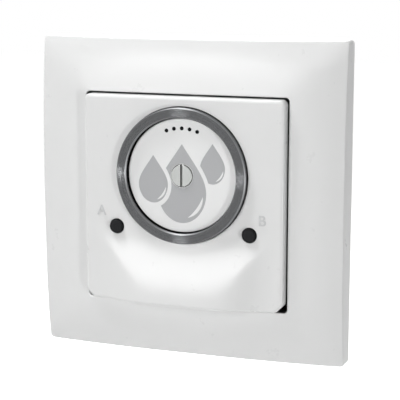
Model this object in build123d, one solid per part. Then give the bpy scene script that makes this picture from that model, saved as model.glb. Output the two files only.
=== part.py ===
from build123d import *
import os
from math import atan2, cos, degrees, radians, sin

# Flush-mounted leak detection controller for a standard wall box.
# Each piece is drawn lying on its back: x runs to the right, y up the wall and z out of the wall,
# with z = 0 on the wall. It is stood up as it is written, so the part has +Z up and its front towards -Y.

# Clearances
seat_gap = 0.02  # thread or inlay, each side
running_gap = 0.08  # button or switch stem in its guide, each side
drop_in_gap = 0.25  # piece laid in a well or a tray, each side
hole_gap = 0.2  # screw shank through a plain hole, each side
overrun = 1.0  # how far a cut runs past the face that it opens

# Steel support plate, screwed to the wall box
support_margin = 5.5  # from the box screws out to the plate's edge
support_thickness = 1.0
support_corner_radius = 4.0
support_bridge = 1.2  # metal left between the opening and the holes of the housing's screws
box_screw_spacing = 60.0
box_slot_length = 6.0
box_slot_width = 3.4
lug_hole_inset = 4.5
lug_hole_radius = 1.75
box_head_room_side = 12.0  # room round the head of a box screw
box_head_room_height = 3.0

# Cover frame
frame_overhang = 6.5  # beyond the support plate, each side
frame_corner_radius = 1.1
frame_draft = 0.27  # how far each side leans in towards the front
frame_edge_mid = 6.6  # height of the outer edge at the middle of a side
frame_edge_corner = 4.3
frame_rim_mid = 9.67  # height of the cut-out's rim at the middle of a side
frame_rim_corner = 9.04
frame_edge_fall_share = 2.8  # power of the outer edge's fall towards the corner
frame_crown_share = 1.7  # power of the crown between rim and outer edge
frame_mitre_blend = 0.8
frame_surface_count = 41  # heights along each side of the curved face
frame_edge_radius = 0.4
frame_rim_radius = 0.3
frame_wall = 2.0
cutout_side = 55.5
cutout_corner_radius = 1.0
cutout_wall = 1.6
ledge_width = 2.25
ledge_thickness = 1.2
frame_rib_thickness = 1.2
frame_rib_offset = 14.0

# Centre plate
plate_gap = 0.45  # to the cut-out, each side
plate_face = 11.4  # height of the flat face
plate_top_corner_radius = 1.4
plate_bottom_corner_cut = 2.0
plate_cut_radius = 1.5
plate_edge_radius = 0.8
plate_wall = 1.6
plate_skin = 1.8

# Raised lip at the bottom of the plate: a ramp climbs to it, and a flank falls away at each side
ramp_start = 16.0  # from the plate's bottom edge up to the foot of the ramp
ramp_run = 12.6
flank_reach = 21.5  # from the middle out to the foot of a flank
flank_run = 9.6
lip_foot_blend = 3.2  # either side of the foot of ramp and flanks
lip_rise = 3.75
lip_blend_share = 5.0  # power of the rounded ridges between ramp, flanks and lip
plate_surface_count = 49  # heights along each side of the curved face

# Round window: steel ring, face disc and screw
window_height = 7.0  # centre above the middle of the plate
ring_outer_radius = 17.7
ring_width = 2.65
ring_proud = 1.6
ring_chamfer = 0.3
well_depth = 2.4
well_floor = 1.5
well_wall = 1.0
disc_chamfer = 0.12

# Five sound holes, on an arc round the window's centre
sound_hole_radius = 0.52
sound_backing_radius = 0.8
sound_arc_share = 0.829  # of the disc's radius
sound_hole_step = 10.0  # degrees
sound_hole_count = 5

# Drop symbols inlaid in the disc: centre of the round and its half-width, in shares of the disc's radius
inlay_depth = 0.3
halo = 1.0
drop_left_shares = (-0.534, -0.178, 0.273)
drop_middle_shares = (0.0, -0.298, 0.449)
drop_right_shares = (0.564, 0.150, 0.228)

# A drop's right side from tip to bottom, in shares of its half-width
drop_side_shares = ((0, 1.90), (0.49, 1.145), (1, 0.62), (1, 0))
drop_round_shares = ((1, 0), (1, -0.66), (0.55, -1.20), (0, -1.20))
glint_shares = ((0.86, -0.12), (0.70, -0.68), (0.24, -0.98), (0.58, -0.62))

# Centre screw
screw_head_radius = 2.9
screw_head_height = 1.8
screw_head_proud = 0.4
screw_head_chamfer = 0.15
screw_slot_width = 0.65
screw_slot_depth = 0.9
screw_shank_radius = 1.5
screw_length = 7.4

# Buttons and their switches
button_offset = 18.3
button_drop = 7.4  # below the middle of the plate
button_radius = 1.72
button_rim_gap = 0.33  # round the button in the plate's face, each side
button_rim_depth = 0.8
button_proud = 1.0
button_edge_radius = 0.25
button_flange_radius = 2.9
button_flange_thickness = 0.6
button_guide_length = 2.0
button_guide_radius = 3.6
button_travel = 0.5
switch_side = 6.0
switch_height = 3.3
switch_corner_chamfer = 0.4
switch_rivet_radius = 0.45
switch_rivet_height = 0.1
switch_bore_depth = 2.1
stem_radius = 1.7
stem_end_gap = 0.2  # left under the stem when the button is pressed home

# Chassis, the moulded tray on the front of the support plate
chassis_gap = 0.5  # to the frame's ledge, each side
chassis_corner_radius = 3.0
chassis_floor = 1.2
chassis_rim = 1.4
centre_post_radius = 3.5
board_post_radius = 2.0
board_post_height = 1.4
board_post_inset = 1.1  # from the tray's rim
link_window_length = 14.6
link_window_width = 6.8
link_offset = 8.0  # below the middle of the plate

# Front board
board_thickness = 1.2
board_screw_radius = 0.9
board_screw_length = 2.5
board_screw_head_radius = 1.7
board_screw_head_height = 1.0
board_cross_width = 0.5
board_cross_depth = 0.5
sounder_side = 8.5
sounder_height = 2.4
sounder_port_radius = 0.75
sounder_corner_chamfer = 0.8
chip_side = 9.0
chip_height = 1.2
chip_offset = 15.5  # below the middle of the plate
chip_lead_width = 0.5
chip_lead_reach = 0.8
chip_lead_thickness = 0.25
chip_lead_pitch = 1.0
chip_lead_count = 8

# Link between the boards
link_pitch = 2.54
link_column_count = 5
link_row_count = 2
link_body_width = 5.0
link_body_length = 12.7
link_header_height = 2.5
link_pin_side = 0.64
link_pin_stick_out = 0.8
link_pin_end_gap = 0.8
link_hole_gap = 0.15

# Rear housing in the wall box
housing_wall = 1.6
housing_depth = 24.0
housing_flange_width = 0.8
housing_flange_thickness = 1.5
housing_step_depth = 17.0
housing_step_offset = 9.5  # below the middle
housing_edge_radius = 1.0
housing_rib_thickness = 1.6
housing_rib_length = 3.4
housing_screw_radius = 1.25
housing_screw_length = 9.0
housing_screw_head_radius = 2.1
housing_screw_head_height = 1.1
housing_boss_radius = 3.0
housing_boss_cover = 1.25  # of the housing's wall, outside a boss
housing_boss_depth = 12.0

# Main board and what it carries
main_board_gap = 1.3  # to the housing's wall
main_board_thickness = 1.6
main_board_depth = 3.0  # from the wall to its front face
relay_width = 10.0
relay_length = 20.0
relay_end_gap = 2.8  # left over the relay
relay_place = (-8.5, 4.5)
case_edge_radius = 0.6
core_side = 16.0
core_end_gap = 4.8  # left over the core
core_place = (8.0, 5.0)
core_yoke = 2.4
bobbin_gap = 0.3
bobbin_reach = 1.2
capacitor_radius = 4.0
capacitor_end_gap = 0.8  # left over the can
capacitor_place = (-18.0, -7.0)
capacitor_groove_radius = 0.35
capacitor_groove_height = 2.0
varistor_radius = 3.5
varistor_thickness = 3.5
varistor_lead_radius = 0.3
varistor_lead_spacing = 5.0
varistor_lead_height = 1.2
varistor_place = (18.0, -7.0)
fuse_radius = 1.3
fuse_length = 7.0
fuse_cap_length = 1.4
fuse_cap_step = 0.15
fuse_place = (2.0, -7.2)

# Terminal block
terminal_pitch = 5.0
terminal_count = 5
terminal_block_depth = 9.0
terminal_offset = 15.0  # below the middle
terminal_edge_chamfer = 0.4
wire_entry_side = 3.2
wire_entry_offset = 2.0
driver_hole_radius = 1.6
driver_hole_offset = 2.2
terminal_face = 5.0  # wall between the wire's side and the clamps
clamp_pocket_width = 4.0
clamp_pocket_depth = 8.0
clamp_height = 3.6
clamp_hole_side = 2.6
terminal_screw_radius = 1.0
terminal_screw_length = 5.4
terminal_screw_head_radius = 1.45
terminal_screw_head_height = 1.4
terminal_screw_slot_width = 0.4
terminal_screw_slot_depth = 0.6

# Radii that follow from the ring
ring_inner_radius = ring_outer_radius - ring_width
disc_radius = ring_inner_radius - drop_in_gap
sound_arc_radius = sound_arc_share * disc_radius
drop_left = [share * disc_radius for share in drop_left_shares]
drop_middle = [share * disc_radius for share in drop_middle_shares]
drop_right = [share * disc_radius for share in drop_right_shares]

# Sides that follow from the cut-out and from the wall box
ledge_opening = cutout_side - 2 * ledge_width
chassis_side = ledge_opening - 2 * chassis_gap
chassis_room = chassis_side - 2 * chassis_rim
support_side = box_screw_spacing + 2 * support_margin
frame_side = support_side + 2 * frame_overhang
lug_hole_offset = support_side / 2 - lug_hole_inset
board_post_offset = chassis_room / 2 - board_post_radius - board_post_inset
housing_screw_offset = chassis_room / 2 - housing_screw_head_radius - drop_in_gap
support_opening_radius = housing_screw_offset - housing_screw_radius - hole_gap - support_bridge
housing_radius = housing_screw_offset + housing_boss_radius + housing_boss_cover
housing_flange_radius = housing_radius + housing_flange_width
main_board_radius = housing_radius - housing_wall - main_board_gap

# Heights that follow from the stack of pieces
frame_half = frame_side / 2
cutout_half = cutout_side / 2
ledge_top = support_thickness + ledge_thickness
plate_half = cutout_half - plate_gap
well_height = plate_face - well_depth
post_top = well_height - well_floor
chassis_top = support_thickness + chassis_floor
board_bottom = chassis_top + board_post_height
board_top = board_bottom + board_thickness
chassis_rim_top = board_top
button_seat = plate_face - button_guide_length
stem_top = button_seat - button_flange_thickness
main_board_back = -main_board_depth - main_board_thickness
relay_height = housing_depth - housing_wall + main_board_back - relay_end_gap
core_height = housing_depth - housing_wall + main_board_back - core_end_gap
capacitor_height = housing_step_depth - housing_wall + main_board_back - capacitor_end_gap
window_centre = (0, window_height)
button_places = {"a": (-button_offset, -button_drop), "b": (button_offset, -button_drop)}
BOTTOM = (Align.CENTER, Align.CENTER, Align.MIN)

os.makedirs("parts", exist_ok=True)


def block(size_x, size_y, low, high, at=(0, 0)):
    """An upright box between two heights."""
    return Pos(at[0], at[1], low) * Box(size_x, size_y, high - low, align=BOTTOM)


def post(radius, low, high, at=(0, 0)):
    """An upright cylinder between two heights."""
    return Pos(at[0], at[1], low) * Cylinder(radius, high - low, align=BOTTOM)


def slab(size_x, size_y, corner_radius, low, high, at=(0, 0)):
    """An upright block with rounded corners between two heights."""
    outline = Pos(at[0], at[1], low) * RectangleRounded(size_x, size_y, corner_radius)
    return extrude(outline, high - low)


def below_surface(height_at, half, count_a_side, drop):
    """All that lies below a curved face, down to a drop under it, over a square."""
    places = [half * (2 * i / (count_a_side - 1) - 1) for i in range(count_a_side)]
    rows = [[Vector(x, y, height_at(x, y)) for y in places] for x in places]
    face = Face.make_surface_from_array_of_points(rows)
    return extrude(face, amount=drop, dir=(0, 0, -1))


def top_edges(shape, lowest):
    """The edges of a shape that lie above a height and are not upright."""
    found = []
    for edge in shape.edges():
        box = edge.bounding_box()
        if box.min.Z > lowest:
            found.append(edge)
    return found


def max_reach(edge):
    """How far an edge reaches from the middle, along x or y."""
    box = edge.bounding_box()
    return max(abs(box.min.X), abs(box.max.X), abs(box.min.Y), abs(box.max.Y))


def group(solids):
    """Separate solids kept as one node."""
    return Compound(list(solids))


def save(name, shape):
    """Stand a piece up against the wall and write it."""
    export_step(Rot(X=90) * shape, f"parts/{name}.step")


def smooth_lower(a, b, blend):
    """The lower of two heights, rounded where they meet within a blend of each other."""
    near = max(blend - abs(a - b), 0) / blend
    return min(a, b) - near**2 * blend / 4


def crown_height(across, along):
    """Height of the frame's face on one side, from distances across and along that side."""
    edge_fall = (frame_edge_mid - frame_edge_corner) * (along / frame_half) ** frame_edge_fall_share
    rim_fall = (frame_rim_mid - frame_rim_corner) * (along / cutout_half) ** 2
    edge = frame_edge_mid - edge_fall
    rim = frame_rim_mid - rim_fall
    run = max(across - cutout_half, 0) / (frame_half - cutout_half)
    return rim - (rim - edge) * run**frame_crown_share


def frame_height(x, y):
    """Height of the frame's face: four crowned sides that melt into each other at the corners."""
    side = crown_height(abs(x), abs(y))
    other = crown_height(abs(y), abs(x))
    return smooth_lower(side, other, frame_mitre_blend)


def eased(past):
    """How far past the foot of a slope, with the foot rounded within its blend."""
    if past > lip_foot_blend:
        return past
    return max(past + lip_foot_blend, 0) ** 2 / (4 * lip_foot_blend)


def plate_height(x, y):
    """Height of the plate's face: flat, with a ramp and two flanks that climb to a lip at the bottom."""
    ramp = eased(ramp_start - plate_half - y) / ramp_run
    flank = eased(flank_reach - abs(x)) / flank_run
    if ramp <= 0 or flank <= 0:
        return plate_face
    bend = lip_blend_share
    return plate_face + lip_rise / (1 + ramp**-bend + flank**-bend) ** (1 / bend)


def box_head_rooms(low):
    """Room for the heads of the screws that hold the support plate to the wall box."""
    reach = box_screw_spacing / 2
    high = support_thickness + box_head_room_height
    places = ((reach, 0), (-reach, 0), (0, reach), (0, -reach))
    return [block(box_head_room_side, box_head_room_side, low, high, at) for at in places]


def make_cover_frame():
    """Moulded frame: pillow-shaped face, hollow back, walled cut-out and a ledge for the centre plate."""
    top = frame_rim_mid + overrun
    lean = degrees(atan2(frame_draft, frame_edge_mid))
    outline = RectangleRounded(frame_side, frame_side, frame_corner_radius)
    reach = frame_half + frame_wall
    under_face = below_surface(frame_height, reach, frame_surface_count, 2 * top)
    body = extrude(outline, top, taper=lean) & under_face
    body = fillet(top_edges(body, frame_edge_corner / 2), frame_edge_radius)
    body -= slab(cutout_side, cutout_side, cutout_corner_radius, -overrun, top)
    rim = [e for e in top_edges(body, frame_edge_corner) if max_reach(e) < cutout_half + frame_rim_radius]
    body = fillet(rim, frame_rim_radius)

    hollow_side = frame_side - 2 * frame_wall
    hollow = slab(hollow_side, hollow_side, frame_corner_radius / 2, -overrun, top)
    hollow &= Pos(Z=-frame_wall) * under_face
    collar_side = cutout_side + 2 * cutout_wall
    collar = slab(collar_side, collar_side, cutout_corner_radius + cutout_wall, support_thickness, top)
    hollow -= collar
    for turn in range(4):
        for side in (-1, 1):
            middle = ((collar_side + frame_side) / 4, side * frame_rib_offset)
            rib_length = (frame_side - collar_side) / 2
            rib_low = support_thickness + drop_in_gap
            hollow -= Rot(Z=90 * turn) * block(rib_length, frame_rib_thickness, rib_low, top, middle)
    body -= hollow
    body -= slab(cutout_side, cutout_side, cutout_corner_radius, -overrun, support_thickness)
    ledge = slab(cutout_side + cutout_wall, cutout_side + cutout_wall, cutout_corner_radius + cutout_wall,
                 support_thickness, ledge_top)
    ledge -= slab(ledge_opening, ledge_opening, cutout_corner_radius, 0, top)
    body += ledge
    for room in box_head_rooms(0):
        body -= room
    return body


def plate_outline(inset):
    """The centre plate's outline, set in by a distance: round top corners, cut bottom corners."""
    half = plate_half - inset
    square = Rectangle(2 * half, 2 * half)
    cut = chamfer(square.vertices().sort_by(Axis.Y)[:2], plate_bottom_corner_cut)
    cut = fillet(cut.vertices().sort_by(Axis.Y)[:4], plate_cut_radius)
    high_corners = cut.vertices().sort_by(Axis.Y)[-2:]
    return fillet(high_corners, max(plate_top_corner_radius - inset, plate_top_corner_radius / 3))


def sound_places():
    """Centres of the five sound holes."""
    middle = (sound_hole_count - 1) / 2
    places = []
    for i in range(sound_hole_count):
        turn = radians(sound_hole_step * (i - middle))
        places.append((sound_arc_radius * sin(turn), window_height + sound_arc_radius * cos(turn)))
    return places


def make_centre_plate():
    """Moulded plate: flat face, ramp and lip, hollow back, well for ring and disc, button guides."""
    top = plate_face + 2 * lip_rise
    under_face = below_surface(plate_height, plate_half + plate_wall, plate_surface_count, 2 * top)
    body = Pos(Z=ledge_top) * extrude(plate_outline(0), top) & under_face
    body = fillet(top_edges(body, plate_face - plate_edge_radius), plate_edge_radius)

    hollow = Pos(Z=-overrun) * extrude(plate_outline(plate_wall), top + overrun)
    hollow &= Pos(Z=-plate_skin) * under_face
    hollow -= post(ring_outer_radius + drop_in_gap + well_wall, post_top, top, window_centre)
    for place in button_places.values():
        hollow -= post(button_guide_radius, button_seat, top, place)
    body -= hollow
    body -= post(ring_outer_radius + drop_in_gap, well_height, top, window_centre)
    body -= post(screw_shank_radius + hole_gap, 0, top, window_centre)
    for place in button_places.values():
        body -= post(button_radius + running_gap, 0, top, place)
        body -= post(button_radius + button_rim_gap, plate_face - button_rim_depth, top, place)
    for place in sound_places():
        body -= post(sound_backing_radius, 0, top, place)
    for room in box_head_rooms(0):
        body -= room
    return body


def make_trim_ring():
    """Turned steel ring in the well, standing proud of the plate."""
    high = plate_face + ring_proud
    ring = post(ring_outer_radius, well_height, high) - post(ring_inner_radius, well_height, high)
    ring = chamfer(ring.edges().group_by(Axis.Z)[-1], ring_chamfer)
    return Pos(*window_centre) * ring


def drop_outline(drop, grow=0):
    """One drop as a flat shape: two nearly straight flanks and a round bottom."""
    x, y, half_width = drop
    reach = half_width + grow
    sides = []
    for sign in (1, -1):
        for shares in (drop_side_shares, drop_round_shares):
            sides.append(Bezier(*[(sign * u * reach, v * reach) for u, v in shares]))
    return Pos(x, y + window_height) * make_face(sides)


def glint(drop, grow=0):
    """The crescent of light left open at the lower right of a drop."""
    x, y, half_width = drop
    first, outer, last, inner = [Vector(u * half_width, v * half_width) for u, v in glint_shares]
    outward = (outer - inner).normalized() * grow
    bow = ThreePointArc(first, outer + outward, last)
    hollow = ThreePointArc(last, inner - outward, first)
    return Pos(x, y + window_height) * make_face([bow, hollow])


def drop_shapes(gap=0):
    """The three drops, each cut back by a bare halo round its left neighbour."""
    left = drop_outline(drop_left, -gap) - glint(drop_left, gap)
    middle = drop_outline(drop_middle, -gap) - glint(drop_middle, gap)
    middle -= drop_outline(drop_left, halo + gap)
    middle -= Pos(*window_centre) * Circle(screw_head_radius + drop_in_gap + gap)
    right = drop_outline(drop_right, -gap) - glint(drop_right, gap)
    right -= drop_outline(drop_middle, halo + gap)
    return [left, middle, right]


def make_drop_symbols():
    """Thin inlays, flush with the disc."""
    solids = []
    for shape in drop_shapes(seat_gap):
        solids += (Pos(Z=plate_face - inlay_depth) * extrude(shape, inlay_depth)).solids()
    return group(solids)


def make_face_disc():
    """Moulded disc in the ring, with sound holes, a sunk seat for the screw and pockets for the drops."""
    disc = post(disc_radius, well_height, plate_face)
    disc = chamfer(disc.edges().group_by(Axis.Z)[-1], disc_chamfer)
    disc = Pos(*window_centre) * disc
    head_bottom = plate_face + screw_head_proud - screw_head_height
    disc -= post(screw_head_radius + drop_in_gap / 2, head_bottom, plate_face + overrun, window_centre)
    disc -= post(screw_shank_radius + hole_gap, 0, plate_face, window_centre)
    for place in sound_places():
        disc -= post(sound_hole_radius, 0, plate_face + overrun, place)
    for shape in drop_shapes():
        disc -= Pos(Z=plate_face - inlay_depth) * extrude(shape, inlay_depth + overrun)
    return disc


def make_centre_screw():
    """Slotted cheese-head screw that holds disc and plate to the chassis post."""
    high = plate_face + screw_head_proud
    head_bottom = high - screw_head_height
    head = post(screw_head_radius, head_bottom, high)
    head = chamfer(head.edges().group_by(Axis.Z)[-1], screw_head_chamfer)
    slot = block(screw_slot_width, 2 * screw_head_radius + overrun, high - screw_slot_depth, high + overrun)
    shank = post(screw_shank_radius, head_bottom - screw_length, head_bottom)
    return Pos(*window_centre) * (head - slot + shank)


def make_button(place):
    """Round push button with a flange behind the plate."""
    high = plate_face + button_proud
    cap = post(button_radius, button_seat, high)
    cap = fillet(cap.edges().group_by(Axis.Z)[-1], button_edge_radius)
    cap += post(button_flange_radius, stem_top, button_seat)
    return Pos(*place) * cap


def make_switch(place):
    """Tactile switch body on the front board, with the bore that its stem slides in."""
    high = board_top + switch_height
    body = block(switch_side, switch_side, board_top, high)
    body = chamfer(body.edges().filter_by(Axis.Z), switch_corner_chamfer)
    rivet_offset = switch_side / 2 - 2 * switch_rivet_radius
    for x in (-rivet_offset, rivet_offset):
        for y in (-rivet_offset, rivet_offset):
            body += post(switch_rivet_radius, high, high + switch_rivet_height, (x, y))
    body -= post(stem_radius + running_gap, high - switch_bore_depth, high + overrun)
    return Pos(*place) * body


def make_switch_stem(place):
    """Stem of the tactile switch, pressed by the button."""
    low = board_top + switch_height - switch_bore_depth + button_travel + stem_end_gap
    return Pos(*place) * post(stem_radius, low, stem_top)


def make_chassis():
    """Moulded tray: rim round the front board, posts for board and centre screw, window for the link."""
    tray = slab(chassis_side, chassis_side, chassis_corner_radius, support_thickness, chassis_rim_top)
    room_corner = chassis_corner_radius - chassis_rim
    tray -= slab(chassis_room, chassis_room, room_corner, chassis_top, chassis_rim_top + overrun)
    tray += post(centre_post_radius, support_thickness, post_top, window_centre)
    bore_low = chassis_top
    tray -= post(screw_shank_radius + seat_gap, bore_low, post_top, window_centre)
    for place in board_post_places():
        tray += post(board_post_radius, support_thickness, board_bottom, place)
        tray -= post(board_screw_radius + seat_gap, chassis_top, board_bottom, place)
    tray -= block(link_window_length, link_window_width, 0, chassis_top, (0, -link_offset))
    for x in (-housing_screw_offset, housing_screw_offset):
        tray -= post(housing_screw_radius + hole_gap, 0, chassis_top, (x, 0))
    return tray


def board_post_places():
    """Centres of the four posts under the front board."""
    offset_to_post = (-board_post_offset, board_post_offset)
    return [(x, y) for x in offset_to_post for y in offset_to_post]


def link_places():
    """Centres of the pins between the boards."""
    return [(at.position.X, at.position.Y - link_offset)
            for at in GridLocations(link_pitch, link_pitch, link_column_count, link_row_count)]


def make_front_board():
    """Circuit board in the tray, with holes for post, screws and pins."""
    side = chassis_room - 2 * drop_in_gap
    corner = chassis_corner_radius - chassis_rim
    board = slab(side, side, corner, board_bottom, board_top)
    board -= post(centre_post_radius + drop_in_gap, 0, board_top, window_centre)
    for place in board_post_places():
        board -= post(board_screw_radius + hole_gap, 0, board_top, place)
    for place in link_places():
        hole_side = link_pin_side + 2 * link_hole_gap
        board -= block(hole_side, hole_side, 0, board_top, place)
    return board


def make_board_screws():
    """Four small cross-head screws that hold the front board."""
    screws = []
    high = board_top + board_screw_head_height
    for place in board_post_places():
        screw = post(board_screw_head_radius, board_top, high)
        screw = chamfer(screw.edges().group_by(Axis.Z)[-1], board_screw_head_height / 3)
        for turn in (0, 90):
            cross_low = high - board_cross_depth
            cross = block(2 * board_screw_radius, board_cross_width, cross_low, high + overrun)
            screw -= Rot(Z=turn) * cross
        screw += post(board_screw_radius, board_top - board_screw_length + seat_gap, board_top)
        screws.append(Pos(*place) * screw)
    return group(screws)


def make_sounder():
    """Low square sounder right behind the sound holes."""
    body = block(sounder_side, sounder_side, board_top, board_top + sounder_height)
    body = chamfer(body.edges().filter_by(Axis.Z), sounder_corner_chamfer)
    high = board_top + sounder_height
    body -= post(sounder_port_radius, high - sounder_height / 2, high + overrun)
    return Pos(0, window_height + sound_arc_radius) * body


def make_control_chip():
    """Controller chip with its leads, on the front board."""
    low = board_top + chip_lead_thickness
    chip = block(chip_side, chip_side, low, board_top + chip_height)
    chip = chamfer(chip.edges().group_by(Axis.Z)[-1], chip_lead_thickness / 2)
    first = (chip_lead_count - 1) / 2
    middle = chip_side / 2
    for turn in range(4):
        for i in range(chip_lead_count):
            place = ((i - first) * chip_lead_pitch, middle)
            lead = block(chip_lead_width, 2 * chip_lead_reach, board_top, low + chip_lead_thickness, place)
            chip += Rot(Z=90 * turn) * lead
    return Pos(0, -chip_offset) * chip


def make_link_header():
    """Pin header under the front board: body and pins in one piece."""
    low = board_bottom - link_header_height
    header = block(link_body_length, link_body_width, low, board_bottom, (0, -link_offset))
    pin_low = -main_board_depth + link_pin_end_gap
    for place in link_places():
        header += block(link_pin_side, link_pin_side, pin_low, board_top + link_pin_stick_out, place)
    return header


def make_link_socket():
    """Socket on the main board that the pins plug into."""
    high = board_bottom - link_header_height
    socket = block(link_body_length, link_body_width, -main_board_depth, high, (0, -link_offset))
    hole_side = link_pin_side + 2 * link_hole_gap
    for place in link_places():
        socket -= block(hole_side, hole_side, -main_board_depth, high + overrun, place)
    return socket


def make_support_plate():
    """Pressed steel plate with a round opening, four slots for box screws and lug holes at the corners."""
    plate = slab(support_side, support_side, support_corner_radius, 0, support_thickness)
    plate -= post(support_opening_radius, -overrun, support_thickness + overrun)
    slot = Pos(box_screw_spacing / 2, 0, 0) * SlotOverall(box_slot_length, box_slot_width)
    for turn in range(4):
        plate -= Rot(Z=90 * turn) * extrude(slot, support_thickness)
    for x in (-lug_hole_offset, lug_hole_offset):
        for y in (-lug_hole_offset, lug_hole_offset):
            plate -= post(lug_hole_radius, 0, support_thickness, (x, y))
    for x in (-housing_screw_offset, housing_screw_offset):
        plate -= post(housing_screw_radius + hole_gap, 0, support_thickness, (x, 0))
    return plate


def make_housing_screws():
    """Two screws that clamp chassis, support plate and rear housing together."""
    screws = []
    high = chassis_top + housing_screw_head_height
    for x in (-housing_screw_offset, housing_screw_offset):
        screw = post(housing_screw_head_radius, chassis_top, high)
        screw = chamfer(screw.edges().group_by(Axis.Z)[-1], housing_screw_head_height / 3)
        for turn in (0, 90):
            cross_low = high - board_cross_depth
            cross = block(2 * housing_screw_radius, board_cross_width, cross_low, high + overrun)
            screw -= Rot(Z=turn) * cross
        screw += post(housing_screw_radius, chassis_top - housing_screw_length, chassis_top)
        screws.append(Pos(x, 0) * screw)
    return group(screws)


def lower_part(low, high, y_limit):
    """All that lies below a height on the wall, between two depths."""
    width = 4 * housing_radius
    return block(width, width, low, high, (0, y_limit - width / 2))


def make_rear_housing():
    """Round cup in the wall box, with a step for the terminals, ribs for the board and screw bosses."""
    cup = post(housing_radius, -housing_depth, 0)
    cup -= lower_part(-housing_depth - overrun, -housing_step_depth, -housing_step_offset)
    cup = fillet(cup.faces().sort_by(Axis.Z)[:1].edges(), housing_edge_radius)
    cup += post(housing_flange_radius, -housing_flange_thickness, 0)

    hollow = post(housing_radius - housing_wall, -housing_depth + housing_wall, overrun)
    step_high = -housing_step_depth + housing_wall
    hollow -= lower_part(-housing_depth, step_high, -housing_step_offset + housing_wall)
    rib_outer = housing_radius - housing_wall / 2
    rib_length = housing_rib_length + housing_wall / 2
    for turn in (45, 135, 225, 315):
        rib_middle = (rib_outer - rib_length / 2, 0)
        rib = block(rib_length, housing_rib_thickness, -housing_depth, main_board_back, rib_middle)
        hollow -= Rot(Z=turn) * rib
    for x in (-housing_screw_offset, housing_screw_offset):
        hollow -= post(housing_boss_radius, -housing_boss_depth, 0, (x, 0))
    cup -= hollow
    for x in (-housing_screw_offset, housing_screw_offset):
        bore_low = chassis_top - housing_screw_length - overrun
        cup -= post(housing_screw_radius + seat_gap, bore_low, overrun, (x, 0))
    window_length = terminal_count * terminal_pitch + 2 * drop_in_gap
    window_width = terminal_block_depth + 2 * drop_in_gap
    cup -= block(window_length, window_width, -housing_depth, step_high + overrun, (0, -terminal_offset))
    return cup


def make_main_board():
    """Round circuit board in the rear housing, notched round the screw bosses."""
    board = post(main_board_radius, main_board_back, -main_board_depth)
    for x in (-housing_screw_offset, housing_screw_offset):
        board -= post(housing_boss_radius + drop_in_gap, -housing_depth, 0, (x, 0))
    return board


def make_relay():
    """Sealed relay case."""
    low = main_board_back - relay_height
    case = block(relay_width, relay_length, low, main_board_back, relay_place)
    return fillet(case.edges().filter_by(Plane.XY, reverse=True) + case.edges().group_by(Axis.Z)[0],
                  case_edge_radius)


def make_transformer_core():
    """Iron core of the transformer: an outer frame with a middle limb."""
    low = main_board_back - core_height
    core = block(core_side, core_side, low, main_board_back)
    window = (core_side - 4 * core_yoke) / 2
    for side in (-1, 1):
        x = side * (core_yoke + window / 2)
        core -= block(window, core_side - 2 * core_yoke, low - overrun, main_board_back + overrun, (x, 0))
    return Pos(*core_place) * core


def make_transformer_winding():
    """Wound bobbin round the middle limb of the core."""
    low = main_board_back - core_height - bobbin_reach
    high = main_board_back
    window = (core_side - 4 * core_yoke) / 2
    length = core_side - 2 * core_yoke - 2 * bobbin_gap
    bobbin = block(2 * (core_yoke + window - bobbin_gap), length, low, high)
    bobbin -= block(2 * (core_yoke + bobbin_gap), length + overrun, low - overrun, high + overrun)
    return Pos(*core_place) * group(bobbin.solids())


def make_capacitor():
    """Round can with a rolled groove near its foot."""
    low = main_board_back - capacitor_height
    can = post(capacitor_radius, low, main_board_back)
    can = fillet(can.edges().group_by(Axis.Z)[0], capacitor_groove_radius)
    groove = Pos(Z=main_board_back - capacitor_groove_height) * Torus(
        capacitor_radius + capacitor_groove_radius / 2, capacitor_groove_radius)
    return Pos(*capacitor_place) * (can - groove)


def make_varistor():
    """Disc varistor standing on two leads."""
    middle = main_board_back - varistor_lead_height - varistor_radius
    disc = Pos(Z=middle) * Rot(Y=90) * Cylinder(varistor_radius, varistor_thickness)
    disc = chamfer(disc.edges(), varistor_thickness / 5)
    for side in (-1, 1):
        place = (0, side * varistor_lead_spacing / 2)
        disc += post(varistor_lead_radius, middle, main_board_back, place)
    return Pos(*varistor_place) * disc


def make_fuse():
    """Small cartridge fuse with stepped end caps, lying on the board."""
    body = Rot(Y=90) * Cylinder(fuse_radius, fuse_length)
    for side in (-1, 1):
        x = side * (fuse_length - fuse_cap_length) / 2
        body += Pos(X=x) * Rot(Y=90) * Cylinder(fuse_radius + fuse_cap_step, fuse_cap_length)
    return Pos(fuse_place[0], fuse_place[1], main_board_back - fuse_radius - fuse_cap_step) * body


def terminal_columns():
    """Sideways places of the terminals."""
    first = (terminal_count - 1) / 2
    return [(i - first) * terminal_pitch for i in range(terminal_count)]


def make_terminal_block():
    """Moulded block: wire entries and screwdriver holes at the back, pockets for the clamps inside."""
    low = -housing_step_depth
    length = terminal_count * terminal_pitch
    body = block(length, terminal_block_depth, low, main_board_back, (0, -terminal_offset))
    body = chamfer(body.edges().group_by(Axis.Z)[0], terminal_edge_chamfer)
    pocket_low = low + terminal_face
    for x in terminal_columns():
        body -= block(clamp_pocket_width, clamp_pocket_depth, pocket_low, main_board_back + overrun,
                      (x, -terminal_offset))
        entry = (x, -terminal_offset + wire_entry_offset)
        body -= block(wire_entry_side, wire_entry_side, low - overrun, pocket_low, entry)
        driver_entry = (x, -terminal_offset - driver_hole_offset)
        body -= post(driver_hole_radius, low - overrun, pocket_low, driver_entry)
    return body


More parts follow.
